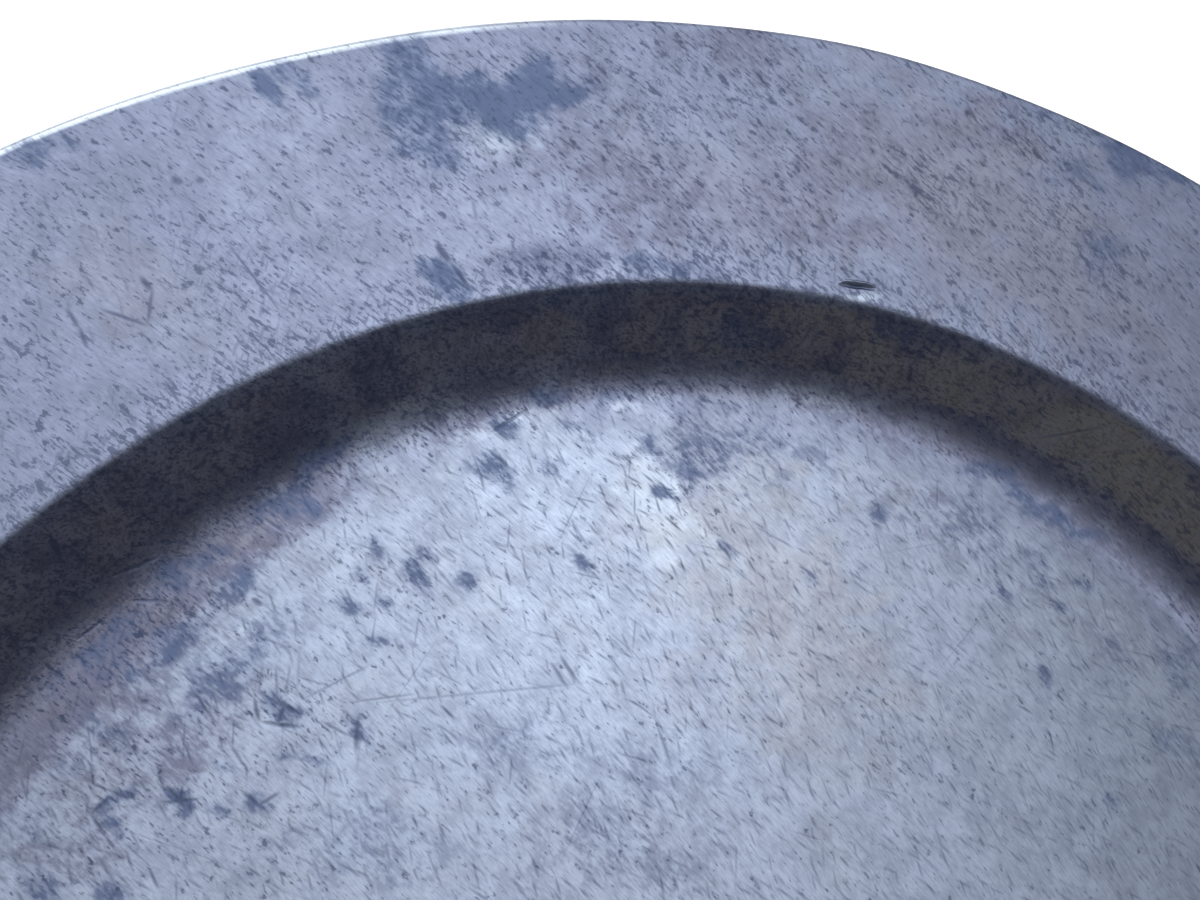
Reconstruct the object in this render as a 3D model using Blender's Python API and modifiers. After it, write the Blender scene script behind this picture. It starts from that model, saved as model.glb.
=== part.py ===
"""Round pewter tray: a cast and turned dish with a flat rim, a steep well and a half-round bead under its edge.

Metres, +Z up. The origin is the centre of the flat underside that the tray rests on, and +Z is its turning axis.
"""

import math

import bpy

# Overall size
TRAY_RADIUS = 0.2100
WELL_DEPTH = 0.0237

# Rim
RIM_WIDTH = 0.0519
RIM_RISE = 0.0046
RIM_THICKNESS = 0.0019
EDGE_ROUNDING = 0.0012
EDGE_UNDER_ROUNDING = 0.0003

# Well
WALL_ANGLE = math.radians(57)
WALL_THICKNESS = 0.0020
FLOOR_THICKNESS = 0.0022
SHOULDER_ROUNDING = 0.0022
SHOULDER_UNDER_ROUNDING = 0.0030
FOOT_ROUNDING = 0.0110

# Half-round bead under the rim's edge
BEAD_WIDTH = 0.0046
BEAD_HEIGHT = 0.0027
BEAD_STANDS_OUT = 0.0008
BEAD_TOP_ROUNDING = 0.0005
BEAD_OUTER_ROUNDING = 0.0018
BEAD_INNER_ROUNDING = 0.0011

# Solder fillet in the corner between the bead and the rim
SOLDER_ALONG_RIM = 0.0017
SOLDER_DOWN_BEAD = 0.0012
SOLDER_LIP = 0.0003

# Play between pieces that lie against each other
SEAT_GAP = 0.0003

# Facets
TURN_STEPS = 96
ARC_STEP = math.radians(18)

PEWTER_COLOUR = (0.268, 0.305, 0.423)
BEAD_COLOUR = (0.300, 0.335, 0.440)
SOLDER_COLOUR = (0.190, 0.205, 0.260)


def clear_scene():
    for obj in list(bpy.data.objects):
        bpy.data.objects.remove(obj, do_unlink=True)


def new_collection(name):
    collection = bpy.data.collections.new(name)
    bpy.context.scene.collection.children.link(collection)
    return collection


def metal(name, colour, roughness):
    """A bare metal surface with one colour and roughness."""
    material = bpy.data.materials.new(name)
    material.use_nodes = True
    shader = material.node_tree.nodes["Principled BSDF"]
    shader.inputs["Base Color"].default_value = (*colour, 1.0)
    shader.inputs["Metallic"].default_value = 1.0
    shader.inputs["Roughness"].default_value = roughness
    material.diffuse_color = (*colour, 1.0)
    return material


def unit(start, end):
    """The direction from one point of a section to another."""
    length = math.dist(start, end)
    return ((end[0] - start[0]) / length, (end[1] - start[1]) / length)


def crossing(point, direction, other_point, other_direction):
    """Where two straight lines of a section meet."""
    across = direction[0] * other_direction[1] - direction[1] * other_direction[0]
    apart = (other_point[0] - point[0], other_point[1] - point[1])
    along = (apart[0] * other_direction[1] - apart[1] * other_direction[0]) / across
    return (point[0] + along * direction[0], point[1] + along * direction[1])


def shifted(point, direction, distance):
    """The point moved sideways, to the right of the direction of travel."""
    return (point[0] + distance * direction[1], point[1] - distance * direction[0])


def round_corner(before, corner, after, radius):
    """The arc that rounds one corner of a section, as points from the first straight to the next."""
    towards = unit(before, corner)
    away = unit(corner, after)
    turn = math.atan2(
        towards[0] * away[1] - towards[1] * away[0],
        towards[0] * away[0] + towards[1] * away[1],
    )
    side = math.copysign(1.0, turn)
    setback = radius * math.tan(abs(turn) / 2)
    start = (corner[0] - setback * towards[0], corner[1] - setback * towards[1])
    centre = shifted(start, towards, -side * radius)
    steps = max(2, math.ceil(abs(turn) / ARC_STEP))
    points = []
    for step in range(steps + 1):
        angle = turn * step / steps
        arm = (start[0] - centre[0], start[1] - centre[1])
        points.append(
            (
                centre[0] + arm[0] * math.cos(angle) - arm[1] * math.sin(angle),
                centre[1] + arm[0] * math.sin(angle) + arm[1] * math.cos(angle),
            )
        )
    return points


def rounded(corners, closed):
    """A section's points from its corners, each given as (radius from the axis, height, rounding)."""
    points = []
    count = len(corners)
    for index, (across, height, rounding) in enumerate(corners):
        at_an_end = not closed and index in (0, count - 1)
        if rounding == 0 or at_an_end:
            points.append((across, height))
            continue
        before = corners[index - 1][:2]
        after = corners[(index + 1) % count][:2]
        points.extend(round_corner(before, (across, height), after, rounding))
    return points


def turned(name, section, closed, material, collection):
    """A solid of revolution. The section runs from the top of its outer side to the bottom."""
    edges = [(index, index + 1) for index in range(len(section) - 1)]
    if closed:
        edges.append((len(section) - 1, 0))
    mesh = bpy.data.meshes.new(name)
    mesh.from_pydata([(across, 0.0, height) for across, height in section], edges, [])
    mesh.materials.append(material)
    obj = bpy.data.objects.new(name, mesh)
    collection.objects.link(obj)
    turn = obj.modifiers.new("Turn", "SCREW")
    turn.axis = "Z"
    turn.angle = math.tau
    turn.steps = TURN_STEPS
    turn.render_steps = TURN_STEPS
    turn.use_merge_vertices = True
    turn.merge_threshold = 0.00001
    turn.use_smooth_shade = True
    return obj


# The lines that the tray's pieces share
EDGE_RADIUS = TRAY_RADIUS - BEAD_STANDS_OUT
SHOULDER_RADIUS = EDGE_RADIUS - RIM_WIDTH
FLOOR_HEIGHT = FLOOR_THICKNESS
EDGE_HEIGHT = FLOOR_HEIGHT + WELL_DEPTH
SHOULDER_HEIGHT = EDGE_HEIGHT - RIM_RISE
WALL_RUN = (SHOULDER_HEIGHT - FLOOR_HEIGHT) / math.tan(WALL_ANGLE)
FOOT_RADIUS = SHOULDER_RADIUS - WALL_RUN

FOOT = (FOOT_RADIUS, FLOOR_HEIGHT)
SHOULDER = (SHOULDER_RADIUS, SHOULDER_HEIGHT)
EDGE = (EDGE_RADIUS, EDGE_HEIGHT)
UP_THE_WALL = unit(FOOT, SHOULDER)
OUT_THE_RIM = unit(SHOULDER, EDGE)


def under_rim(across, below=0.0):
    """The point of the rim's underside at this radius, or of a line this far below it."""
    start = shifted(SHOULDER, OUT_THE_RIM, RIM_THICKNESS + below)
    return crossing(start, OUT_THE_RIM, (across, 0.0), (0.0, 1.0))


def tray_body(material, collection):
    """Rim, shoulder, well wall and floor: one casting, a little thicker in the floor than in the rim."""
    under_wall = shifted(SHOULDER, UP_THE_WALL, WALL_THICKNESS)
    under_shoulder = crossing(under_wall, UP_THE_WALL, under_rim(SHOULDER_RADIUS), OUT_THE_RIM)
    under_foot = crossing(under_wall, UP_THE_WALL, (0.0, 0.0), (1.0, 0.0))
    corners = [
        (0.0, FLOOR_HEIGHT, 0),
        (*FOOT, FOOT_ROUNDING),
        (*SHOULDER, SHOULDER_ROUNDING),
        (*EDGE, EDGE_ROUNDING),
        (*under_rim(EDGE_RADIUS), EDGE_UNDER_ROUNDING),
        (*under_shoulder, SHOULDER_UNDER_ROUNDING),
        (*under_foot, FOOT_ROUNDING + WALL_THICKNESS),
        (0.0, 0.0, 0),
    ]
    return turned("tray_body", rounded(corners, False), False, material, collection)


def edge_bead(material, collection):
    """A half-round strip, flat side up, seated under the rim and standing out a little past its edge."""
    inner_radius = TRAY_RADIUS - BEAD_WIDTH
    bottom = under_rim(EDGE_RADIUS, SEAT_GAP)[1] - BEAD_HEIGHT
    corners = [
        (*under_rim(TRAY_RADIUS, SEAT_GAP), BEAD_TOP_ROUNDING),
        (TRAY_RADIUS, bottom, BEAD_OUTER_ROUNDING),
        (inner_radius, bottom, BEAD_INNER_ROUNDING),
        (*under_rim(inner_radius, SEAT_GAP), 0),
    ]
    return turned("edge_bead", rounded(corners, True), True, material, collection)


def bead_solder(material, collection):
    """The hollow-faced fillet of solder that holds the bead to the rim, with a thin lip at both ends."""
    against_bead = TRAY_RADIUS - BEAD_WIDTH - SEAT_GAP
    along_rim = against_bead - SOLDER_ALONG_RIM
    corner = under_rim(against_bead, SEAT_GAP)
    inner_end = under_rim(along_rim, SEAT_GAP)
    lower_end = corner[1] - SOLDER_DOWN_BEAD
    face_top = inner_end[1] - SOLDER_LIP
    reach_across = SOLDER_ALONG_RIM - SOLDER_LIP
    reach_down = face_top - lower_end
    section = [corner, (against_bead, lower_end)]
    steps = math.ceil(math.radians(90) / ARC_STEP)
    for step in range(steps + 1):
        angle = math.radians(90) * step / steps
        section.append(
            (along_rim + reach_across * math.cos(angle), lower_end + reach_down * math.sin(angle))
        )
    section.append(inner_end)
    return turned("bead_solder", section, True, material, collection)


def main():
    clear_scene()
    collection = new_collection("pewter_tray")
    tray_body(metal("Aged pewter", PEWTER_COLOUR, 0.42), collection)
    edge_bead(metal("Aged pewter bead", BEAD_COLOUR, 0.38), collection)
    bead_solder(metal("Dull solder", SOLDER_COLOUR, 0.60), collection)


main()
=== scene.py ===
"""Aged pewter tray: the dish, its edge bead and its solder as fine meshes, in worn and pitted old pewter."""

import math
from functools import partial

import bmesh
import bpy
from mathutils import Euler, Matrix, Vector, noise


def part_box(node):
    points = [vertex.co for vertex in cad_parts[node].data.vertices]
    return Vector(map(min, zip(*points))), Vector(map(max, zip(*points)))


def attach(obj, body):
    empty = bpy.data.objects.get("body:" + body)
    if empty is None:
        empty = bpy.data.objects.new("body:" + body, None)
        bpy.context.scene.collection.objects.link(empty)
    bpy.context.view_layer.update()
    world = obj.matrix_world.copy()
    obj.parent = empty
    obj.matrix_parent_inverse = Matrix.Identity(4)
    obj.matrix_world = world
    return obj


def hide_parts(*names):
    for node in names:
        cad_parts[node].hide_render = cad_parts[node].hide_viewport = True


bl_info = {
    "name": "Aged pewter tray",
    "version": (1, 0, 0),
    "blender": (4, 5, 0),
    "location": "3D View > Sidebar > Pewter tray",
    "description": "Models a broad-rimmed old pewter tray on its studio stage",
    "category": "Object",
}

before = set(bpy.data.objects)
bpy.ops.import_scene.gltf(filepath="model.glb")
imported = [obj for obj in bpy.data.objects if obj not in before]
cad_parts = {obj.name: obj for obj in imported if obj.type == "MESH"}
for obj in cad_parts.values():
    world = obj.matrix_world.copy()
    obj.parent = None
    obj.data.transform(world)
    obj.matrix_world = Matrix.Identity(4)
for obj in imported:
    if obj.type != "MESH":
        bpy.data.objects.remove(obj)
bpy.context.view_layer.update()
body_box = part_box("tray_body")
bead_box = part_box("edge_bead")
solder_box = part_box("bead_solder")

# The photograph's frame in pixels, and the camera that fits the tray's rim, shoulder and foot in it
PHOTO_WIDTH = 1200
PHOTO_HEIGHT = 900
LENS_MM = 27.0
SENSOR_MM = 36.0
CAMERA_PLACE = (-0.0419, 0.0913, 0.1707)
CAMERA_TURN = (math.radians(13.10), math.radians(-8.56), math.radians(-2.02))

# Corner roundings of the dish, in metres
FOOT_ROUNDING = 0.0110
SHOULDER_ROUNDING = 0.0022
EDGE_ROUNDING = 0.0012
UNDER_EDGE_ROUNDING = 0.0003
UNDER_SHOULDER_ROUNDING = 0.0030
UNDER_FOOT_ROUNDING = 0.0130

# Roundings of the bead's outer top, outer bottom and inner bottom corners in metres, each with its steps
BEAD_ROUNDINGS = ((0.0005, 5), (0.0014, 8), (0.0009, 6))

# The bead, the solder behind it and their gap to the rim, in metres
BEAD_WIDTH = 0.0046
SOLDER_WIDTH = 0.0017
SOLDER_LIP = 0.0003
SOLDER_LUMPS = 0.0003
GAP = 0.0001

# An upper face's normal rises by more than the first, and an under face's falls by more than the second
RISES = 0.05
FALLS = -0.5

# Rings of the mesh: how far inside the foot the flats begin, shares of the wall's run, steps across the rim
# and insets from its edge. Lengths are in metres
FLOOR_INSET = 0.012
UNDER_INSET = 0.014
WALL_SHARES = (0.42, 0.53, 0.64, 0.75, 0.86)
RIM_STEPS = 12
EDGE_INSETS = (0.0022, 0.0018, 0.0015)

# Oxide patches and cuts of less than this half width in metres get a finer mesh
SMALL_MARK = 0.0065

# Softboxes: name, degrees from the far side to the right, degrees from overhead, distance, size, radiance
SOFTBOXES = (
    ("overhead_softbox", 0, 10, 1.5, 2.4, 0.95),
    ("key_softbox", 35, 11, 1.5, 0.8, 1.00),
)

# The side from which the room is bright. Between the first two cosines of the angle to it, the room
# brightens from the third value to the fourth
BRIGHT_SIDE = (-0.42, 0.90, 0.12)
ROOM_FADE = (0.15, 0.95, 0.18, 0.95)

# The paper's width and its depth below the tray in metres, and its glow for the rays that see it
PAPER_SIZE = 12
PAPER_DEPTH = 0.0001
PAPER_GLOW = 0.55

# The radius in metres beyond which use has bent the tray, and where its rim strays outwards: degrees
# from the far side to the right, spread in degrees, mm
BENT_FROM = 0.145
RIM_BENDS = (
    (-36.0, 19.0, 1.8),
    (10.5, 10.0, 0.55),
)

# Marks seen in the photograph, each along a line between two of its pixels: x, y, x, y, half width in mm
# and strength. The first ones are dark oxide
OXIDE_PATCHES = (
    (440, 104, 588, 84, 8, 1.15), (400, 50, 440, 150, 11, 0.72), (440, 120, 560, 122, 6, 0.6),
    (262, 72, 276, 102, 3, 0.95), (284, 68, 316, 90, 4, 0.5), (428, 268, 456, 288, 4.2, 0.95),
    (0, 168, 62, 140, 3.2, 0.6), (60, 128, 84, 152, 1.8, 0.6), (1085, 128, 1205, 200, 6, 0.75),
    (960, 72, 1110, 142, 3.6, 0.42), (1092, 236, 1130, 272, 7, 0.45), (540, 266, 780, 268, 4, 0.5),
    (676, 434, 742, 458, 14, 0.52), (742, 420, 800, 446, 5, 0.4), (484, 464, 506, 486, 4.4, 0.75),
    (535, 458, 556, 472, 2.6, 0.62), (556, 424, 586, 442, 4.2, 0.42), (643, 436, 658, 456, 3, 0.7),
    (656, 492, 675, 502, 2.2, 0.85), (576, 556, 590, 568, 2.2, 0.75), (400, 560, 424, 592, 3.4, 0.72),
    (412, 552, 440, 566, 2.6, 0.62), (338, 600, 354, 612, 2.6, 0.7), (355, 566, 368, 580, 2.4, 0.75),
    (366, 540, 392, 558, 3, 0.55), (374, 598, 396, 606, 1.8, 0.7), (461, 576, 475, 592, 2.6, 0.68),
    (520, 402, 575, 392, 3.2, 0.65), (595, 400, 640, 398, 3, 0.6), (300, 474, 348, 448, 4, 0.75),
    (240, 530, 330, 470, 5, 0.62), (217, 606, 262, 568, 3.4, 0.7), (150, 600, 230, 540, 5, 0.6),
    (60, 690, 150, 612, 5.5, 0.56), (150, 665, 215, 604, 5, 0.64), (182, 706, 288, 628, 7, 0.5),
    (182, 722, 232, 672, 5, 0.5), (262, 704, 302, 720, 2.8, 0.72), (276, 757, 290, 760, 1.8, 0.6),
    (298, 760, 328, 764, 1.6, 0.6), (364, 640, 391, 646, 2, 0.6), (92, 816, 136, 784, 2.2, 0.7),
    (94, 820, 126, 834, 2.2, 0.8), (166, 792, 196, 806, 2.8, 0.78), (212, 804, 228, 822, 2.2, 0.58),
    (244, 798, 276, 804, 2.2, 0.6), (218, 765, 233, 774, 1.6, 0.6), (822, 560, 830, 570, 1.3, 0.6),
    (918, 468, 926, 476, 1.3, 0.6), (1024, 548, 1050, 588, 3.6, 0.5), (1054, 600, 1066, 612, 1.6, 0.65),
    (1038, 662, 1048, 686, 1.8, 0.65), (1088, 625, 1130, 655, 4, 0.36), (1100, 795, 1120, 803, 1.8, 0.5),
    (770, 440, 850, 470, 6, 0.36), (30, 884, 62, 896, 4.4, 0.68), (100, 886, 126, 896, 3.4, 0.7),
    (80, 720, 136, 748, 4, 0.42), (16, 806, 40, 840, 4, 0.42), (348, 714, 366, 742, 2.6, 0.55),
    (955, 515, 1005, 545, 8, 0.42), (998, 584, 1014, 598, 3, 0.62), (1068, 574, 1088, 590, 3.2, 0.48),
    (870, 504, 884, 518, 2.8, 0.55), (718, 536, 734, 554, 2.2, 0.62), (803, 572, 818, 586, 2.4, 0.52),
    (1160, 732, 1198, 764, 5, 0.45), (1160, 640, 1200, 700, 7, 0.45), (862, 318, 930, 340, 4, 0.36),
    (120, 664, 138, 680, 2.4, 0.7), (306, 502, 320, 512, 2.4, 0.75), (218, 680, 240, 700, 2.4, 0.6),
    (520, 300, 640, 300, 3.4, 0.4), (490, 270, 620, 262, 7, 0.36), (420, 740, 600, 745, 10, 0.34),
    (500, 418, 508, 436, 3, 0.62), (930, 440, 1130, 560, 4.5, 0.66), (1040, 150, 1120, 200, 5, 0.4),
    (500, 810, 720, 880, 14, 0.26), (250, 858, 470, 840, 11, 0.36), (560, 765, 760, 785, 9, 0.28),
    (215, 650, 320, 600, 6, 0.36), (60, 760, 120, 740, 6, 0.32), (0, 815, 50, 825, 6, 0.32),
    (60, 722, 90, 690, 2.6, 0.34), (96, 668, 128, 652, 2.4, 0.55), (40, 700, 64, 668, 3, 0.42),
    (112, 640, 150, 606, 2.6, 0.5), (150, 700, 330, 605, 9, 0.3), (690, 330, 790, 352, 4, 0.4),
)

# Pale places rubbed bright. The two broad ones in the middle of the well's floor are partly its painted
# highlight
RUBBED_AND_LIT_PATCHES = (
    (474, 140, 524, 142, 5.5, 0.5), (470, 195, 560, 215, 9, 0.18), (575, 372, 660, 362, 2.6, 0.8),
    (430, 436, 560, 412, 5, 0.62), (250, 505, 300, 470, 3, 0.5), (120, 718, 318, 572, 1.9, 0.66),
    (300, 590, 400, 530, 3.2, 0.55), (470, 500, 720, 600, 45, 0.54), (240, 90, 300, 220, 16, 0.14),
    (842, 298, 880, 296, 1.2, 1), (760, 392, 870, 408, 4, 0.55), (610, 470, 700, 545, 14, 0.9),
    (500, 400, 520, 404, 1.6, 0.6),
)

# Places thick with pits
PITTED_PATCHES = (
    (392, 60, 440, 240, 10, 0.75), (60, 300, 0, 430, 10, 0.6), (545, 100, 620, 230, 9, 0.5),
    (880, 150, 1010, 230, 11, 0.85), (1085, 220, 1130, 290, 9, 0.9), (600, 246, 860, 268, 8, 0.95),
    (20, 200, 60, 280, 8, 0.6), (700, 60, 800, 120, 9, 0.35), (1150, 330, 1190, 400, 8, 0.5),
    (640, 430, 720, 520, 9, 0.4), (330, 540, 450, 610, 9, 0.4), (260, 690, 380, 740, 7, 0.5),
    (40, 760, 300, 860, 14, 0.35), (850, 650, 960, 780, 12, 0.25), (480, 400, 560, 440, 6, 0.3),
    (0, 700, 220, 560, 12, 0.8), (560, 150, 760, 230, 16, 0.35), (210, 330, 290, 382, 6, 1),
)

# Dull places that were never scoured bright. The broad ones across the middle and right of the far rim are
# partly painted shade, partly unscoured metal
DULL_AND_SHADE_PATCHES = (
    (560, 130, 700, 240, 18, 0.64), (690, 185, 890, 258, 12, 0.5), (520, 60, 640, 100, 12, 0.45),
    (480, 262, 620, 266, 6, 0.62), (740, 120, 960, 210, 22, 0.46), (930, 100, 1030, 150, 12, 0.6),
    (100, 700, 240, 800, 14, 0.36), (640, 40, 820, 60, 9, 0.6), (20, 760, 250, 560, 12, 0.6),
    (60, 820, 270, 690, 12, 0.55), (0, 880, 140, 830, 10, 0.5), (1040, 330, 1140, 380, 12, 0.34),
    (860, 480, 980, 540, 8, 0.45), (520, 820, 760, 900, 16, 0.34), (960, 470, 1180, 600, 6, 0.4),
    (790, 395, 950, 458, 6, 0.48), (960, 560, 1060, 580, 9, 0.3),
)

# Faintly warm places
WARM_BLUSHES = (
    (720, 480, 850, 720, 26, 0.75), (850, 120, 1150, 330, 26, 0.7), (640, 150, 860, 235, 15, 0.45),
    (130, 610, 340, 470, 3.6, 0.9), (40, 700, 160, 600, 7, 0.8), (60, 250, 200, 330, 12, 0.45),
    (575, 372, 660, 362, 3, 0.6),
)

# Cuts, scratches and single deep pits, with a depth in mm too, and some with a raised lip in mm. The finest
# are drawn wider than they are, at 0.4 to 0.6 mm, so that they show
PLACED_CUTS = (
    (840, 284, 876, 289, 0.56, 1, 0.35, 0.3), (435, 243, 451, 263, 0.6, 1, 0.12, 0.03),
    (449, 259, 473, 294, 0.42, 1, 0.1, 0.03), (169, 177, 183, 183, 0.8, 0.75, 0.12),
    (195, 177, 204, 182, 0.68, 0.7, 0.1), (486, 435, 526, 411, 0.42, 0.8, 0.08, 0.03),
    (550, 661, 569, 691, 0.38, 0.75, 0.08, 0.02), (559, 654, 578, 684, 0.4, 0.75, 0.08, 0.02),
    (222, 236, 284, 316, 0.26, 0.85, 0.05), (97, 308, 149, 326, 0.34, 0.8, 0.06, 0.02),
    (147, 326, 152, 286, 0.34, 0.8, 0.06, 0.02), (139, 275, 152, 292, 0.6, 0.8, 0.08),
    (64, 306, 80, 330, 0.38, 0.8, 0.06, 0.02), (78, 326, 87, 349, 0.4, 0.85, 0.06, 0.02),
    (164, 380, 180, 404, 0.34, 0.75, 0.06), (68, 444, 84, 460, 0.34, 0.7, 0.05),
    (0, 340, 24, 352, 0.4, 0.6, 0.05), (350, 374, 362, 360, 0.34, 0.8, 0.06),
    (364, 374, 378, 358, 0.34, 0.8, 0.06), (380, 370, 391, 355, 0.34, 0.8, 0.06),
    (190, 447, 196, 428, 0.38, 0.8, 0.06), (207, 445, 213, 427, 0.38, 0.8, 0.06),
    (223, 440, 230, 423, 0.38, 0.8, 0.06), (656, 722, 673, 770, 0.28, 0.75, 0.05),
    (253, 697, 259, 724, 0.44, 0.85, 0.08), (259, 722, 302, 728, 0.44, 0.85, 0.08),
    (272, 700, 304, 716, 0.44, 0.8, 0.08), (286, 698, 276, 728, 0.4, 0.8, 0.08),
    (262, 664, 258, 696, 0.26, 0.6, 0.04), (275, 661, 277, 700, 0.26, 0.6, 0.04),
    (290, 664, 284, 698, 0.26, 0.55, 0.04), (302, 700, 372, 664, 0.28, 0.5, 0.04),
    (346, 703, 417, 694, 0.26, 0.5, 0.04), (358, 714, 355, 756, 0.48, 0.8, 0.08),
    (164, 784, 184, 808, 0.42, 0.85, 0.08), (160, 803, 200, 800, 0.4, 0.8, 0.08),
    (182, 784, 177, 812, 0.4, 0.8, 0.08), (240, 790, 258, 806, 0.4, 0.75, 0.06),
    (258, 806, 280, 792, 0.4, 0.75, 0.06), (90, 814, 108, 798, 0.42, 0.8, 0.06),
    (92, 816, 102, 834, 0.42, 0.8, 0.06), (146, 864, 158, 891, 0.34, 0.7, 0.06),
    (192, 690, 214, 722, 0.3, 0.7, 0.05), (318, 720, 352, 738, 0.3, 0.6, 0.05),
    (228, 742, 246, 770, 0.32, 0.65, 0.05), (61, 309, 83, 277, 0.4, 0.22, 0.02),
    (32, 253, 60, 275, 0.28, 0.4, 0.04), (88, 168, 110, 188, 0.22, 0.35, 0.03),
    (120, 106, 144, 128, 0.34, 0.5, 0.06), (472, 196, 477, 222, 0.38, 0.5, 0.06, 0.02),
    (476, 220, 501, 244, 0.3, 0.45, 0.06, 0.02), (639, 84, 590, 154, 0.55, 0.24, 0.02),
    (654, 50, 657, 93, 0.45, 0.28, 0.02), (537, 165, 540, 218, 0.45, 0.2, 0.02),
    (746, 112, 763, 136, 0.26, 0.5, 0.05), (899, 84, 911, 100, 0.26, 0.4, 0.05),
    (835, 155, 865, 184, 0.22, 0.35, 0.04), (885, 174, 867, 203, 0.24, 0.22, 0.02),
    (966, 98, 981, 126, 0.4, 0.45, 0.06), (967, 259, 1006, 237, 0.36, 0.28, 0.03),
    (495, 443, 547, 499, 0.24, 0.32, 0.03), (566, 512, 590, 550, 0.3, 0.5, 0.05),
    (430, 560, 465, 603, 0.3, 0.5, 0.05), (355, 705, 602, 682, 0.3, 0.34, 0.03),
    (392, 316, 402, 352, 0.36, 0.7, 0.08), (382, 345, 398, 378, 0.34, 0.65, 0.05),
    (685, 362, 725, 332, 0.34, 0.6, 0.05), (797, 347, 820, 320, 0.34, 0.6, 0.05),
    (636, 280, 658, 297, 0.32, 0.6, 0.06), (1030, 440, 1112, 426, 0.32, 0.5, 0.05),
    (345, 235, 400, 205, 0.34, 0.22, 0.02), (316, 232, 352, 214, 0.36, 0.28, 0.02),
    (356, 265, 372, 215, 0.36, 0.24, 0.02), (255, 118, 318, 178, 0.26, 0.18, 0.01),
    (724, 546, 733, 562, 0.38, 0.6, 0.06), (0, 620, 22, 652, 0.34, 0.8, 0.08),
    (50, 537, 62, 560, 0.5, 0.85, 0.08), (212, 463, 226, 476, 0.44, 0.8, 0.06),
    (262, 517, 285, 532, 0.34, 0.8, 0.06), (285, 532, 292, 548, 0.3, 0.6, 0.05),
    (112, 577, 160, 560, 0.5, 0.6, 0.06), (250, 598, 262, 606, 0.6, 0.7, 0.08),
    (80, 640, 104, 622, 0.4, 0.6, 0.05), (130, 601, 172, 601, 0.4, 0.7, 0.06),
    (46, 660, 62, 682, 0.34, 0.6, 0.06), (640, 575, 656, 600, 0.26, 0.35, 0.03),
    (760, 640, 775, 668, 0.26, 0.32, 0.03), (300, 640, 296, 700, 0.32, 0.3, 0.02),
    (362, 715, 356, 775, 0.28, 0.38, 0.03), (505, 790, 560, 845, 0.26, 0.3, 0.03),
)


def linear(hex_colour):
    """An sRGB hex colour as linear red, green and blue."""
    channels = []
    for start in (1, 3, 5):
        value = int(hex_colour[start : start + 2], 16) / 255
        if value <= 0.04045:
            channels.append(value / 12.92)
        else:
            channels.append(((value + 0.055) / 1.055) ** 2.4)
    return tuple(channels)


def colour_setting(label, note, hex_colour):
    """A colour picker in the sidebar, starting at this sRGB colour."""
    return bpy.props.FloatVectorProperty(
        name=label,
        description=note,
        subtype="COLOR",
        size=3,
        min=0.0,
        max=1.0,
        default=linear(hex_colour),
    )


def length_setting(label, note, metres):
    """A length in the sidebar, starting at this many metres."""
    return bpy.props.FloatProperty(name=label, description=note, default=metres, unit="LENGTH")


class TraySizes(bpy.types.PropertyGroup):
    edge_radius: length_setting("Edge radius", "Of the dish, without the bead under its edge", body_box[1].x)
    edge_height: length_setting("Edge height", "Where the rim's top face meets its edge", 0.0259)
    rim_width: length_setting("Rim width", "From the shoulder to the rim's edge", 0.0519)
    rim_rise: length_setting("Rim rise", "How much higher the edge is than the shoulder", 0.0046)
    wall_angle: bpy.props.FloatProperty(
        name="Wall angle", description="Slope of the well's wall", default=math.radians(57), subtype="ANGLE"
    )
    floor_thickness: length_setting("Floor thickness", "Metal in the well's floor", 0.0022)
    wall_thickness: length_setting("Wall thickness", "Metal in the well's wall", 0.0020)
    rim_thickness: length_setting("Rim thickness", "Metal in the rim", 0.0019)
    segments: bpy.props.IntProperty(
        name="Segments", description="Facets round each turned piece, a multiple of four", default=288
    )
    warp: length_setting("Warp", "How far use has bent the rim down out of true", 0.0006)
    ripple: length_setting("Ripple", "Depth of the shallow hollows in the well's floor", 0.00025)
    shoulder_wander: length_setting("Shoulder wander", "How far the worn shoulder strays from true", 0.00025)


class TrayColours(bpy.types.PropertyGroup):
    grey: colour_setting("Grey pewter", "The open metal of the rim", "#868ea6")
    blue: colour_setting("Blue pewter", "The cooler parts of the open metal", "#828ca8")
    # Dull pewter, which on the wall and across the middle of the far rim also serves as painted shade
    dull_and_shade: colour_setting("Dull pewter", "Metal that was never scoured bright", "#70748b")
    warm: colour_setting("Warm tint", "What the faintly brown places do to the metal's colour", "#fff5ea")
    # Rubbed pewter, partly painted light on the well's floor
    rubbed_and_lit: colour_setting("Rubbed pewter", "Metal scoured clean by use", "#b7c5da")
    oxide: colour_setting("Oxide", "Thick blue-grey tarnish", "#606e8f")
    pit: colour_setting("Pit", "The dark bottom of a corrosion pit or scratch", "#434e6a")
    # Wall film, which also serves as painted light on the right of the wall
    wall_film_and_light: colour_setting("Wall film", "The drab film on the well's wall", "#9d9b98")
    # Polished pewter, laid on the rim's edge at the far left as polish and painted highlight
    polished_highlight: colour_setting("Polished pewter", "The rim's edge where hands keep it bright", "#cfdae8")
    solder: colour_setting("Solder", "Dull lead-rich solder", "#70747f")
    paper: colour_setting("Paper", "The white sheet under the tray", "#f4f4f4")


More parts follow.
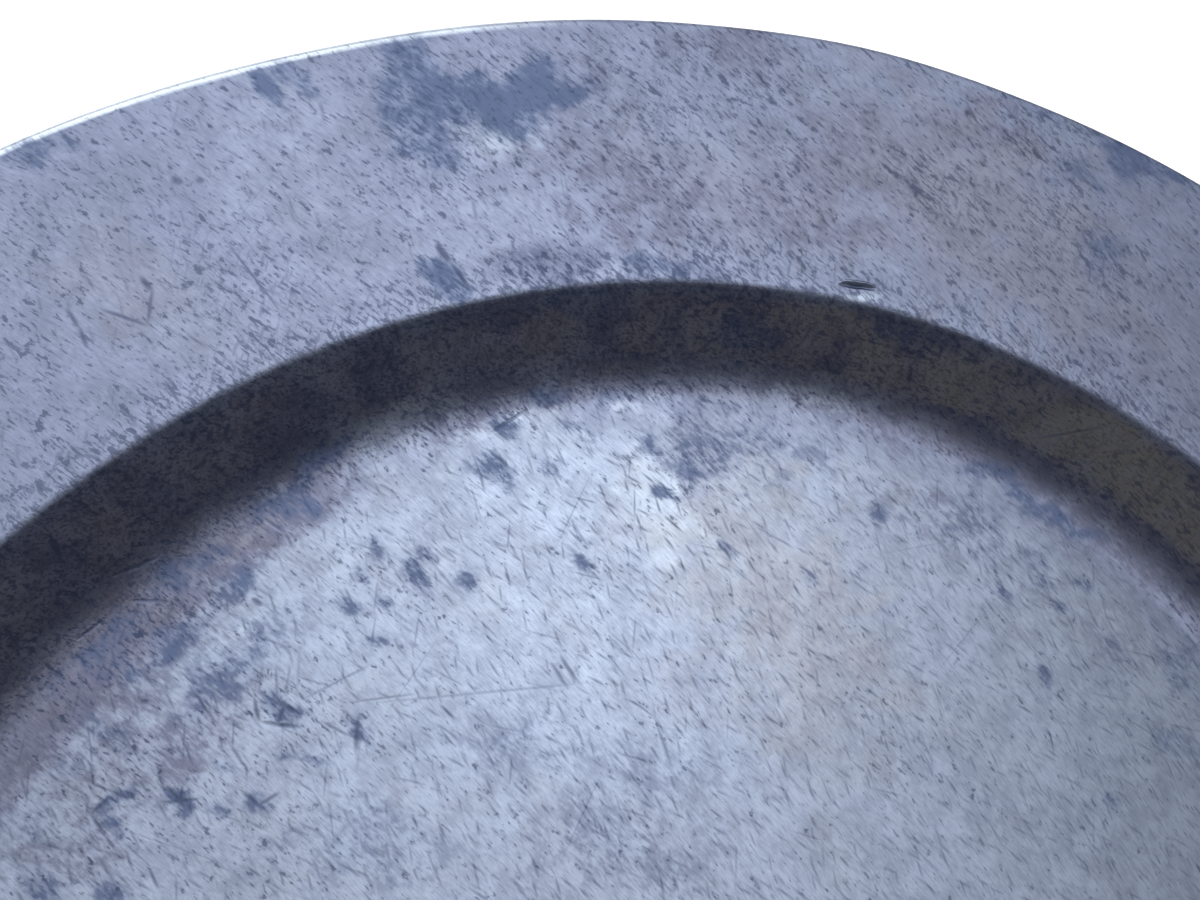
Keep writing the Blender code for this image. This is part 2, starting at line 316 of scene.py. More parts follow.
class Section:
    """The corners of the dish's section, as (radius, height) pairs, from the scene's sizes."""

    def __init__(self, sizes):
        self.sizes = sizes
        self.slope = sizes.rim_rise / sizes.rim_width
        self.shoulder = (sizes.edge_radius - sizes.rim_width, sizes.edge_height - sizes.rim_rise)
        self.edge = (sizes.edge_radius, sizes.edge_height)
        run = (self.shoulder[1] - sizes.floor_thickness) / math.tan(sizes.wall_angle)
        self.foot = (self.shoulder[0] - run, sizes.floor_thickness)

    def rim(self, radius, below=0.0):
        """Height of the rim's top face at this radius, or of a face this far under it."""
        tilt = math.sqrt(1 + self.slope**2)
        return self.shoulder[1] + (radius - self.shoulder[0]) * self.slope - below * tilt

    def under_wall(self, height):
        """Radius of the wall's outer face at this height."""
        shift = self.sizes.wall_thickness / math.sin(self.sizes.wall_angle)
        return self.foot[0] + (height - self.foot[1]) / math.tan(self.sizes.wall_angle) + shift

    def under_shoulder(self):
        """Where the wall's outer face meets the rim's underside."""
        height = self.shoulder[1] - self.sizes.rim_thickness
        for _ in range(8):
            height = self.rim(self.under_wall(height), self.sizes.rim_thickness)
        return (self.under_wall(height), height)


def smooth_step(value, low, high):
    """0 below low, 1 above high, and an even S-curve between."""
    share = min(max((value - low) / (high - low), 0.0), 1.0)
    return share * share * (3 - 2 * share)


def wave(place, size, seed):
    """Smooth unevenness between 0 and 1 in plan, in waves of about this size in metres."""
    return 0.5 + 0.5 * noise.noise(Vector((place.x / size, place.y / size, seed)))


def bend_rim(place, sizes):
    """How use has bent the rim here, as a move: nothing at the well, most at the edge."""
    radius = math.hypot(place.x, place.y)
    reach = smooth_step(radius, BENT_FROM, sizes.edge_radius)
    facing = math.atan2(place.x, place.y)
    outward = 0.0
    for middle, spread, distance in RIM_BENDS:
        off = abs(facing - math.radians(middle))
        outward += distance / 1000 * (1 - smooth_step(off, 0.0, math.radians(spread)))
    outward *= reach / radius
    down = sizes.warp * reach * wave(place, 0.11, 3.7)
    return Vector((place.x * outward, place.y * outward, -down))


def open_ring(name, radius, height, segments):
    """Starts a piece as a bare circle in edit mode, with its place in its mesh."""
    bpy.ops.object.select_all(action="DESELECT")
    bpy.ops.mesh.primitive_circle_add(
        vertices=segments, radius=radius, fill_type="NOTHING", location=(0, 0, height)
    )
    piece = bpy.context.object
    piece.name = name
    piece.data.name = name
    bpy.ops.object.transform_apply(location=True, rotation=True, scale=True)
    bpy.ops.object.mode_set(mode="EDIT")
    bpy.ops.mesh.select_mode(type="EDGE")
    bpy.ops.mesh.select_all(action="SELECT")
    return piece


def extrude_rings(rings):
    """Pulls the selected ring of edges through each next radius and height."""
    for (radius, height), (next_radius, next_height) in zip(rings, rings[1:]):
        bpy.ops.mesh.extrude_edges_move(
            TRANSFORM_OT_translate={"value": (0, 0, next_height - height)}
        )
        grow = next_radius / radius
        bpy.ops.transform.resize(value=(grow, grow, 1), center_override=(0, 0, 0))


def select_rings(piece, rings):
    """Selects the edge rings that lie at these radii and heights, and nothing else."""
    bpy.ops.mesh.select_all(action="DESELECT")
    cage = bmesh.from_edit_mesh(piece.data)

    near = 2e-5

    def on_a_ring(vert):
        radius = math.hypot(vert.co.x, vert.co.y)
        return any(abs(radius - ring[0]) < near and abs(vert.co.z - ring[1]) < near for ring in rings)

    for edge in cage.edges:
        if all(on_a_ring(vert) for vert in edge.verts):
            edge.select_set(True)
    bmesh.update_edit_mesh(piece.data)


def round_ring(piece, ring, radius, turn, segments):
    """Rounds one corner ring to an arc of this radius, where the section turns by this angle."""
    select_rings(piece, [ring])
    bpy.ops.mesh.bevel(
        offset_type="OFFSET",
        offset=radius * math.tan(turn / 2),
        segments=segments,
        profile=0.5,
        affect="EDGES",
        clamp_overlap=False,
    )


def stops(start, end, count, height_at):
    """Ring places between two radii, without the ends."""
    places = []
    for step in range(1, count):
        radius = start + (end - start) * step / count
        places.append((radius, height_at(radius)))
    return places


def close_piece(piece):
    """Merges what meets, points the faces outwards and leaves edit mode."""
    bpy.ops.mesh.select_all(action="SELECT")
    bpy.ops.mesh.remove_doubles(threshold=0.000002)
    bpy.ops.mesh.normals_make_consistent(inside=False)
    bpy.ops.object.mode_set(mode="OBJECT")


def seat_piece(piece, material, node):
    """Shades the finished piece, gives it its material and puts it in its node's place."""
    bpy.ops.object.shade_smooth_by_angle(angle=math.radians(40))
    piece.data.materials.append(material)
    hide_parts(node)
    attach(piece, "root")


def photo_ray(pixel):
    """Start and direction of the line of sight through a pixel of the photograph."""
    turn = Euler(CAMERA_TURN, "XYZ").to_matrix()
    pixels_per_unit = PHOTO_WIDTH * LENS_MM / SENSOR_MM
    across = (pixel[0] - PHOTO_WIDTH / 2) / pixels_per_unit
    down = (pixel[1] - PHOTO_HEIGHT / 2) / pixels_per_unit
    return Vector(CAMERA_PLACE), (turn @ Vector((across, -down, -1))).normalized()


def spot(section, pixel):
    """The place on the dish's upper face that a pixel of the photograph shows."""
    start, sight = photo_ray(pixel)
    for height in (section.foot[1], section.shoulder[1]):
        place = start + sight * ((height - start.z) / sight.z)
        radius = math.hypot(place.x, place.y)
        if height == section.foot[1] and radius <= section.foot[0]:
            return place
    if radius < section.shoulder[0]:
        for _ in range(12):
            share = (radius - section.foot[0]) / (section.shoulder[0] - section.foot[0])
            height = section.foot[1] + share * (section.shoulder[1] - section.foot[1])
            place = (place + start + sight * ((height - start.z) / sight.z)) / 2
            radius = math.hypot(place.x, place.y)
        return place
    for _ in range(6):
        place = start + sight * ((section.rim(radius) - start.z) / sight.z)
        radius = math.hypot(place.x, place.y)
    return place


class Mark:
    """One placed mark, as the straight line in the plan of the dish between two photograph pixels."""

    def __init__(self, section, x, y, end_x, end_y, half_width, strength, depth=0.0, lip=0.0):
        self.start = spot(section, (x, y)).xy
        end = spot(section, (end_x, end_y)).xy
        self.length = (end - self.start).length
        self.along = (end - self.start) / self.length
        self.half_width = half_width / 1000
        self.strength = strength
        self.depth = depth / 1000
        self.lip = lip / 1000
        self.reach = self.length + 3 * self.half_width

    def distance(self, place):
        """Distance of a place in plan from the line, signed by side, and its share of the length."""
        offset = place - self.start
        along = offset.dot(self.along)
        clamped = min(max(along, 0.0), self.length)
        away = (offset - self.along * clamped).length
        side = 1.0 if self.along.cross(offset) > 0 else -1.0
        return side * away, clamped / self.length

    def patch(self, place, ragged):
        """The mark's strength in the middle of its ellipse, falling to 0 at its ragged border."""
        offset = place - self.start
        if offset.length > self.reach:
            return 0.0
        offset = offset + ragged * self.half_width
        across = self.along.cross(offset) / self.half_width
        along = (self.along.dot(offset) - self.length / 2) / (self.length / 2 + self.half_width)
        return self.strength * (1 - smooth_step(math.hypot(across, along), 0.15, 1.05))

    def groove(self, place):
        """Signed distance from the cut's wavering line, its half width and its fullness here."""
        away, share = self.distance(place)
        away += 0.5 * self.half_width * (wave(place, 0.0016, 9.1) - 0.5)
        fullness = 1 - abs(2 * share - 1) ** 3
        return away, self.half_width * (0.45 + 0.55 * fullness), fullness


def refine_near(dish, marks, margin, cuts):
    """Subdivides the upper faces that lie within this margin of any of the marks."""
    bpy.ops.object.mode_set(mode="EDIT")
    bpy.ops.mesh.select_mode(type="FACE")
    bpy.ops.mesh.select_all(action="DESELECT")
    cage = bmesh.from_edit_mesh(dish.data)
    for face in cage.faces:
        if face.normal.z < RISES:
            continue
        centre = face.calc_center_median().xy
        reach = margin + 0.6 * math.sqrt(face.calc_area())
        for mark in marks:
            if (centre - mark.start).length > mark.length + mark.half_width + reach:
                continue
            if abs(mark.distance(centre)[0]) < mark.half_width + reach:
                face.select_set(True)
                break
    bmesh.update_edit_mesh(dish.data)
    bpy.ops.mesh.subdivide(number_cuts=cuts)
    bpy.ops.mesh.select_all(action="DESELECT")
    bpy.ops.object.mode_set(mode="OBJECT")


def sink_cuts(dish, cuts):
    """Sinks the cuts into the dish's upper face and raises the lip beside the deepest."""
    normals = [vert.normal.copy() for vert in dish.data.vertices]
    for vert, normal in zip(dish.data.vertices, normals):
        if normal.z < RISES:
            continue
        place = vert.co.xy
        rise = 0.0
        for cut in cuts:
            if (place - cut.start).length > cut.reach:
                continue
            away, width, fullness = cut.groove(place)
            if abs(away) < width:
                depth = cut.depth * (0.3 + 0.7 * fullness)
                rise = min(rise, -depth * (1 - (away / width) ** 2) ** 1.5)
            elif cut.lip and 0 < away < 2.2 * width:
                rise = cut.lip * fullness * math.sin(math.pi * (away - width) / (1.2 * width))
        vert.co += normal * rise


def strongest(marks, place, ragged, least):
    """The strongest of these marks here, or this least value where it is stronger."""
    return max([least] + [mark.patch(place, ragged) for mark in marks])


def dirt_in(cuts, place):
    """How dark the cuts make this place: 1 in the middle of the darkest, 0 clear of them all."""
    dirt = 0.0
    for cut in cuts:
        if (place - cut.start).length > cut.reach:
            continue
        away, width, fullness = cut.groove(place)
        width = max(width, 0.00026)
        dirt = max(dirt, cut.strength * fullness * (1 - smooth_step(abs(away), 0.3 * width, 1.3 * width)))
    return dirt


def pitting_at(place, radius, section):
    """How thickly corrosion pits lie here: most by the shoulder, some by the edge, and in drifts."""
    drift = wave(place, 0.030, 2.2) + 0.3 * wave(place, 0.009, 4.4)
    drift = smooth_step(drift, 0.60, 1.0)
    if radius < section.shoulder[0]:
        by_foot = smooth_step(radius, section.foot[0] - 0.012, section.foot[0])
        by_foot *= 1 - 0.65 * smooth_step(place.x, 0.0, 0.05)
        return max(1.2 * by_foot - 0.4, 0.7 * drift - 0.45)
    by_shoulder = 1 - smooth_step(radius, section.shoulder[0], section.shoulder[0] + 0.015)
    by_edge = smooth_step(radius, section.edge[0] - 0.012, section.edge[0])
    return max(by_shoulder + 0.5 * by_edge, 0.30 + 0.5 * drift)


def dull_corner(place, radius, height, section):
    """How dull the corner at the foot is, where no scouring pad reached: widest at the left."""
    to_left = smooth_step(-place.x, 0.020, 0.080)
    inner = section.foot[0] - 0.0045 - 0.0070 * to_left
    corner = smooth_step(radius, inner - 0.0025, inner + 0.0030)
    corner *= 1 - smooth_step(height, 0.0060, 0.0095)
    broken = 0.6 * wave(place, 0.018, 6.2) + 0.6 * wave(place, 0.0055, 3.9)
    corner *= 0.20 + 1.20 * broken
    scoured = 0.80 * smooth_step(place.x, -0.067, -0.058) * (1 - smooth_step(place.x, -0.056, -0.038))
    half_scoured = 0.4 * smooth_step(place.x, -0.005, 0.010) * (1 - smooth_step(place.x, 0.045, 0.065))
    return corner * (1 - scoured - half_scoured)


def shade_on_wall(place, height):
    """Painted shade on the wall, in dark drifts, most under the shoulder and towards the left."""
    to_left = smooth_step(-place.x, 0.010, 0.060)
    under = smooth_step(height, 0.0140, 0.0190) * (1.5 * wave(place, 0.020, 4.9) - 0.10)
    under = max(under, 0.70 * to_left * smooth_step(height, 0.0110, 0.0180))
    blotch = 0.40 + 0.48 * smooth_step(wave(place, 0.010, 3.1), 0.40, 0.74)
    blotch *= 1 - 0.75 * smooth_step(place.x, 0.030, 0.085)
    return max(0.80 * under, blotch * smooth_step(height, 0.0050, 0.0090))


def film_and_light_on_wall(place, height):
    """The drab film on the wall, thickest at the right, in drifts. Paler than the metal, it is also painted
    light that lightens the wall towards the right.
    """
    film_and_light = smooth_step(height, 0.0040, 0.0085) * (1 - smooth_step(height, 0.0190, 0.0207))
    film_and_light *= 0.45 + 0.55 * smooth_step(place.x, -0.06, 0.05)
    return film_and_light * (0.62 + 0.60 * wave(place, 0.009, 7.7))


def warmth_on_wall(place, height):
    """The warm tint that the wall has except at the right."""
    blush = 0.55 * smooth_step(height, 0.0045, 0.0085) * (1 - smooth_step(height, 0.018, 0.020))
    return blush * (1 - smooth_step(place.x, 0.030, 0.070))


def tarnish_at(place):
    """Oxide in drifts and spots, for what the photograph doesn't show."""
    drift = wave(place, 0.034, 6.6) + 0.4 * wave(place, 0.010, 6.9)
    spots = wave(place, 0.0085, 5.2) + 0.3 * wave(place, 0.0030, 5.5)
    return max(0.75 * smooth_step(drift, 0.86, 1.02), 0.80 * smooth_step(spots, 0.93, 1.02))


def edge_polish_and_highlight(place, section):
    """How far handling has worn the rim's edge bright here, with a painted highlight of the bright side:
    fully at the far left, not at the right.
    """
    facing = math.atan2(place.x, place.y)
    to_left = smooth_step(-facing, math.radians(4), math.radians(15))
    to_left *= 1 - smooth_step(-facing, math.radians(120), math.radians(150))
    radius = place.xy.length - bend_rim(place, section.sizes).xy.length
    return to_left * smooth_step(radius, section.edge[0] - 0.0021, section.edge[0] - 0.0015)


def paint_pewter(piece, section, patches=(), rubs_and_light=(), pitted=(), dulls_and_shade=(), blushes=(), cuts=()):
    """Paints oxide, rubbing, dirt and pitting as wear_and_light, and film, blush, dullness and polish as
    zones. Some of the rubbing and the film is painted light, some of the dullness painted shade, and the
    polish a painted highlight.
    """
    wear_and_light = piece.data.color_attributes.new(name="wear_and_light", type="FLOAT_COLOR", domain="POINT")
    zones = piece.data.color_attributes.new(name="zones", type="FLOAT_COLOR", domain="POINT")
    for vert in piece.data.vertices:
        place = vert.co.xy
        radius = place.length
        height = vert.co.z
        ragged_x = 1.2 * wave(place, 0.0065, 1.1) + 0.8 * wave(place, 0.0026, 1.7) - 1.0
        ragged_y = 1.2 * wave(place, 0.0065, 2.1) + 0.8 * wave(place, 0.0026, 2.7) - 1.0
        ragged = Vector((ragged_x, ragged_y))
        oxide = rubbed_and_lit = blush = dirt = film_and_light = dull_and_shade = 0.0
        # Polish along the rim's edge, with a painted highlight at the far left
        polish_and_highlight = edge_polish_and_highlight(vert.co, section)
        pitting = pitting_at(place, radius, section) * (1 - polish_and_highlight)
        if vert.normal.z > RISES:
            if radius < section.foot[0]:
                rubbed_and_lit = 0.42 * (1 - smooth_step(radius, section.foot[0] - 0.016, section.foot[0]))
                # Painted light: the floor is rubbed a little paler towards the right
                rubbed_and_lit = max(rubbed_and_lit, 0.12 * smooth_step(place.x, 0.0, 0.05))
            elif radius < section.shoulder[0] + 0.0004:
                # The wall's film, partly painted light towards the right
                film_and_light = film_and_light_on_wall(place, height)
                on_wall = smooth_step(height, 0.0030, 0.0070)
                pitting = max(pitting, on_wall * (0.50 + 0.70 * wave(place, 0.016, 9.9)))
            oxide = tarnish_at(place) * (1 - smooth_step(place.y, -0.005, 0.045))
            # Under the shoulder and on the wall this dullness is painted shade; in the corner at the foot it
            # is tarnish
            if radius < section.shoulder[0]:
                dull_and_shade = max(shade_on_wall(place, height), dull_corner(place, radius, height, section))
            oxide = strongest(patches, place, ragged, oxide)
            rubbed_and_lit = strongest(rubs_and_light, place, ragged, rubbed_and_lit)
            pitting = strongest(pitted, place, ragged, pitting)
            dull_and_shade = strongest(dulls_and_shade, place, ragged, dull_and_shade)
            if section.foot[0] < radius < section.shoulder[0]:
                blush = warmth_on_wall(place, height)
            blush = strongest(blushes, place, ragged, blush)
            dirt = dirt_in(cuts, place)
        elif vert.normal.z < FALLS:
            oxide = tarnish_at(place)
            if height < 0.0003:
                rubbed_and_lit = 0.8 * smooth_step(radius, 0.060, 0.125) * wave(place, 0.030, 8.8)
        wear_and_light.data[vert.index].color = (oxide, rubbed_and_lit, dirt, pitting)
        zones.data[vert.index].color = (film_and_light, blush, dull_and_shade, polish_and_highlight)


def wear_dish(dish, sizes, section):
    """Bends the rim, hollows the floor a little and lets the shoulder stray, inside the true shape."""
    bottom = 0.0004
    for vert in dish.data.vertices:
        place = vert.co.copy()
        radius = math.hypot(place.x, place.y)
        if place.z > bottom:
            vert.co += bend_rim(place, sizes)
        on_floor = place.z > bottom and radius < section.foot[0]
        if on_floor:
            fade = 1 - smooth_step(radius, section.foot[0] - 0.02, section.foot[0])
            hollow = wave(place, 0.045, 1.3) ** 2
            vert.co.z -= sizes.ripple * fade * hollow
        near_shoulder = 1 - smooth_step(abs(radius - section.shoulder[0]), 0.001, 0.008)
        if near_shoulder > 0 and place.z > 0.010:
            stray = sizes.shoulder_wander * near_shoulder * (2 * wave(place, 0.022, 5.9) - 1)
            vert.co.x += stray * place.x / radius
            vert.co.y += stray * place.y / radius


# A map range that eases in and out between its limits
SMOOTH = {"interpolation_type": "SMOOTHSTEP", "clamp": False}

# A mix that lays the colour at socket 7 over the one at socket 6, by the share at socket 0
OVER = {"output": 2, "data_type": "RGBA"}


def add_node(tree, kind, inputs=(), output=0, **settings):
    """Adds a node with its settings and links, and gives back one output, or the node for None."""
    node = tree.nodes.new("ShaderNode" + kind)
    for name, value in settings.items():
        setattr(node, name, value)
    pairs = inputs.items() if isinstance(inputs, dict) else enumerate(inputs)
    for key, value in pairs:
        if isinstance(value, bpy.types.NodeSocket):
            tree.links.new(value, node.inputs[key])
        else:
            node.inputs[key].default_value = value
    return node if output is None else node.outputs[output]


def new_surface(name):
    """A new material, the function that adds nodes to it, and the piece's own coordinates in mm."""
    material = bpy.data.materials.new(name)
    material.use_nodes = True
    add = partial(add_node, material.node_tree)
    place = add("TexCoord", output=3)
    mm = add("VectorMath", {0: place, 3: 1000.0}, operation="SCALE")
    return material, add, mm


def finish_metal(material, colour, roughness, relief):
    """Links a bare metal's colour, roughness and relief to its shader."""
    tree = material.node_tree
    shader = tree.nodes["Principled BSDF"]
    shader.inputs["Metallic"].default_value = 1.0
    for name, socket in (("Base Color", colour), ("Roughness", roughness), ("Normal", relief)):
        tree.links.new(socket, shader.inputs[name])
    return material


def stroke_frame(add, mm):
    """Coordinates that run along the arcs in which the dish was scoured, then across them, in mm."""
    offset = add("VectorMath", (mm, (-405.0, -275.0, 0.0)), operation="SUBTRACT")
    parts = add("SeparateXYZ", (offset,), output=None)
    angle = add("Math", (parts.outputs[1], parts.outputs[0]), operation="ARCTAN2")
    along = add("Math", (angle, 570.0), operation="MULTIPLY")
    flat = add("VectorMath", (offset, (1.0, 1.0, 0.0)), operation="MULTIPLY")
    across = add("VectorMath", (flat,), output=1, operation="LENGTH")
    return add("CombineXYZ", (along, across, parts.outputs[2]))


def stretched_noise(add, strokes, length, width, detail, roughness):
    """Noise in flecks of this length along the strokes and width across them, in mm."""
    squeeze = (1 / length, 1 / width, 1 / width)
    squeezed = add("VectorMath", (strokes, squeeze), operation="MULTIPLY")
    inputs = {"Vector": squeezed, "Scale": 1.0, "Detail": detail, "Roughness": roughness}
    return add("TexNoise", inputs)


def scratch_layer(add, mm, spacing, reach, half_width, lean, spread, seed):
    """Straight scratches, one in each cell of this spacing in mm, leaning about one direction."""
    shifted = add("VectorMath", (mm, (seed * 17.0, seed * 31.0, 0.0)), operation="ADD")
    inputs = {"Vector": shifted, "Scale": 1 / spacing}
    cell = add("TexVoronoi", inputs, output=None, voronoi_dimensions="2D")
    chance = add("SeparateColor", (cell.outputs["Color"],), output=None)
    offset = add("VectorMath", (shifted, cell.outputs["Position"]), operation="SUBTRACT")
    least = math.radians(-lean - spread)
    most = math.radians(-lean + spread)
    turn = add("MapRange", (chance.outputs[0], 0.0, 1.0, least, most), **SMOOTH)
    inputs = {"Vector": offset, "Angle": turn}
    turned = add("VectorRotate", inputs, rotation_type="Z_AXIS", invert=True)
    scale = (1 / reach, 1 / half_width, 0.0)
    squeezed = add("VectorMath", (turned, scale), operation="MULTIPLY")
    away = add("VectorMath", (squeezed,), output=1, operation="LENGTH")
    line = add("MapRange", (away, 1.0, 0.0, 0.0, 1.0), **SMOOTH)
    depth = add("MapRange", (chance.outputs[1], 0.0, 0.8, 0.0, 1.0), **SMOOTH)
    return add("Math", (line, depth), operation="MULTIPLY")


def streaks(add, strokes, turn, length, width, low, high):
    """Fine streaks of this length and width in mm, turned from the strokes by this angle in degrees."""
    inputs = {"Vector": strokes, "Angle": math.radians(turn)}
    turned = add("VectorRotate", inputs, rotation_type="Z_AXIS")
    squeeze = (1 / length, 1 / width, 0.1)
    squeezed = add("VectorMath", (turned, squeeze), operation="MULTIPLY")
    inputs = {"Vector": squeezed, "Scale": 1.0, "Detail": 1.0, "Roughness": 0.5}
    streak = add("TexNoise", inputs)
    return add("MapRange", (streak, low, high, 0.0, 1.0), **SMOOTH)


def pewter(name, colours):
    """Cast tin alloy, turned, then tarnished, pitted by damp and scoured for many years.

    The eye gets a lavender-grey metal with a blue bloom, soft oxide patches that the scouring
    has broken up, pits that crowd towards the shoulder, and knife and scouring scratches.
    """
    material, add, mm = new_surface(name)
    strokes = stroke_frame(add, mm)
    wear_and_light = add("Attribute", output=None, attribute_name="wear_and_light")
    painted = add("SeparateColor", (wear_and_light.outputs["Color"],), output=None)
    patches, rubs_and_light, dirt = painted.outputs
    pitting = wear_and_light.outputs["Alpha"]
    zones = add("Attribute", output=None, attribute_name="zones")
    polish_and_highlight = zones.outputs["Alpha"]
    zones = add("SeparateColor", (zones.outputs["Color"],), output=None)
    film_and_light, blush, dull_and_shade = zones.outputs

    # Thumb-wide and fingertip-wide drifts, flecks along the strokes, and the scoured skin's grain, which is
    # finer on the real one and is drawn a quarter of a millimetre wide so that it shows
    thumb = add("TexNoise", {"Vector": mm, "Scale": 1 / 17, "Detail": 3.0, "Roughness": 0.6})
    blots = add("TexNoise", {"Vector": mm, "Scale": 1 / 5.5, "Detail": 3.0, "Roughness": 0.65})
    flecks = stretched_noise(add, strokes, 2.5, 1.2, 3.0, 0.56)
    specks = stretched_noise(add, strokes, 1.9, 0.55, 2.0, 0.6)
    grain = stretched_noise(add, strokes, 2.0, 0.26, 2.0, 0.6)

    # Corrosion pits a millimetre or two long, finer ones between them, and nicks where they crowd
    threshold = add("Math", (pitting, -0.10, 0.63), operation="MULTIPLY_ADD")
    over = add("Math", (flecks, threshold), operation="SUBTRACT")
    pits = add("MapRange", (over, 0.0, 0.10, 0.0, 1.0), **SMOOTH)
    threshold = add("Math", (pitting, -0.115, 0.62), operation="MULTIPLY_ADD")
    over = add("Math", (specks, threshold), operation="SUBTRACT")
    fine_pits = add("MapRange", (over, 0.0, 0.11, 0.0, 0.80), **SMOOTH)
    nicks = streaks(add, strokes, -62.0, 3.2, 0.75, 0.56, 0.68)
    crowded = add("MapRange", (pitting, 0.30, 0.90, 0.0, 0.50), **SMOOTH)
    nicks = add("Math", (nicks, crowded), operation="MULTIPLY")

    # Oxide, with edges that the flecks break up, and thin where it is painted faint
    ragged = add("Math", (flecks, specks), operation="ADD")
    ragged = add("Math", (ragged, blots), operation="ADD")
    ragged = add("MapRange", (ragged, 1.28, 1.72, 0.70, 1.30), **SMOOTH)
    level = add("Math", (patches, ragged), operation="MULTIPLY")
    oxide = add("MapRange", (level, 0.08, 0.80, 0.0, 1.0), **SMOOTH)
    # Rubbing, partly painted light on the well's floor
    rub_and_light_level = add("Math", (ragged, -0.22, 0.22), operation="MULTIPLY_ADD")
    rub_and_light_level = add("Math", (rub_and_light_level, rubs_and_light), operation="ADD")
    rubbed_and_lit = add("MapRange", (rub_and_light_level, -0.10, 1.10, 0.0, 1.0), **SMOOTH)

    # Scratches: scouring streaks, two sets of short dashes, knife cuts and a few long hairlines. Real ones
    # are mostly finer, and these are drawn half a millimetre wide or more so that they show
    scours = streaks(add, strokes, 0.0, 6.0, 0.70, 0.58, 0.76)
    dashes = scratch_layer(add, mm, 4.2, 2.8, 0.42, 52.0, 22.0, 1.0)
    crossing = scratch_layer(add, mm, 4.0, 2.4, 0.38, 54.0, 28.0, 7.0)
    knife_cuts = scratch_layer(add, mm, 8.0, 5.0, 0.36, 56.0, 42.0, 2.0)
    hairlines = scratch_layer(add, mm, 27.0, 13.0, 0.24, 40.0, 85.0, 3.0)
    lines = add("Math", (scours, 0.36), operation="MULTIPLY")
    for layer, weight in ((dashes, 0.80), (crossing, 0.70), (knife_cuts, 0.66), (hairlines, 0.50)):
        lines = add("Math", (layer, weight, lines), operation="MULTIPLY_ADD")
    scoured = add("Math", (rubs_and_light, 0.8, 0.50), operation="MULTIPLY_ADD")
    scoured = add("Math", (polish_and_highlight, -0.50, scoured), operation="MULTIPLY_ADD")
    lines = add("Math", (lines, scoured), operation="MULTIPLY")

    # The colours, from the open metal to the darkest pits
    colour = add("Mix", {0: thumb, 6: (*colours.grey, 1.0), 7: (*colours.blue, 1.0)}, **OVER)
    colour = add("Mix", {0: rubbed_and_lit, 6: colour, 7: (*colours.rubbed_and_lit, 1.0)}, **OVER)
    # The wall's film, partly painted light
    film_and_light_share = add("Math", (film_and_light, ragged), operation="MULTIPLY")
    colour = add("Mix", {0: film_and_light_share, 6: colour, 7: (*colours.wall_film_and_light, 1.0)}, **OVER)
    # Dullness, partly painted shade on the wall and the far rim
    level = add("Math", (dull_and_shade, ragged), operation="MULTIPLY")
    dull_share = add("MapRange", (level, 0.08, 0.90, 0.0, 1.0), **SMOOTH)
    colour = add("Mix", {0: dull_share, 6: colour, 7: (*colours.dull_and_shade, 1.0)}, **OVER)
    warm_share = add("MapRange", (thumb, 0.45, 0.70, 0.0, 0.28), **SMOOTH)
    warm_share = add("Math", (warm_share, blush), operation="ADD")
    warmed = add("VectorMath", (colour, colours.warm), operation="MULTIPLY")
    colour = add("Mix", {0: warm_share, 6: colour, 7: warmed}, **OVER)
    # The edge's polish with its painted highlight
    colour = add("Mix", {0: polish_and_highlight, 6: colour, 7: (*colours.polished_highlight, 1.0)}, **OVER)
    grain_tone = add("MapRange", (grain, 0.25, 0.75, 0.89, 1.11), **SMOOTH)
    blot_tone = add("MapRange", (blots, 0.3, 0.7, 1.07, 0.93), **SMOOTH)
    tone = add("Math", (grain_tone, blot_tone), operation="MULTIPLY")
    colour = add("VectorMath", {0: colour, 3: tone}, operation="SCALE")
    oxide_share = add("Math", (oxide, 0.94), operation="MULTIPLY")
    colour = add("Mix", {0: oxide_share, 6: colour, 7: (*colours.oxide, 1.0)}, **OVER)
    dark = pits
    for layer in (fine_pits, nicks, lines):
        dark = add("Math", (dark, layer), operation="MAXIMUM")
    contrast = add("Math", (dull_and_shade, 0.24, 0.58), operation="MULTIPLY_ADD")
    dark_share = add("Math", (dark, contrast), operation="MULTIPLY")
    dirt_share = add("Math", (dirt, 0.85), operation="MULTIPLY")
    dark_share = add("Math", (dark_share, dirt_share), operation="MAXIMUM")
    colour = add("Mix", {0: dark_share, 6: colour, 7: (*colours.pit, 1.0)}, **OVER)

    # Tarnish and pits scatter the light more than scoured metal
    matt = add("Math", (oxide, dark), operation="MAXIMUM")
    gloss = add("MapRange", (thumb, 0.3, 0.7, 0.38, 0.44), **SMOOTH)
    rough = add("MapRange", (matt, 0.0, 1.0, 0.0, 0.12), **SMOOTH)
    rough = add("Math", (gloss, rough), operation="ADD")
    rough = add("Math", (polish_and_highlight, -0.22, rough), operation="MULTIPLY_ADD")

    # Relief: pits and scratches sink, the grain and the fingertip-wide hollows barely show
    relief = add("Math", (dark, -0.6), operation="MULTIPLY")
    for layer, weight in ((grain, 0.30), (blots, -1.2)):
        relief = add("Math", (layer, weight, relief), operation="MULTIPLY_ADD")
    relief = add("Bump", {"Strength": 0.5, "Distance": 0.00006, "Height": relief})
    return finish_metal(material, colour, rough, relief)


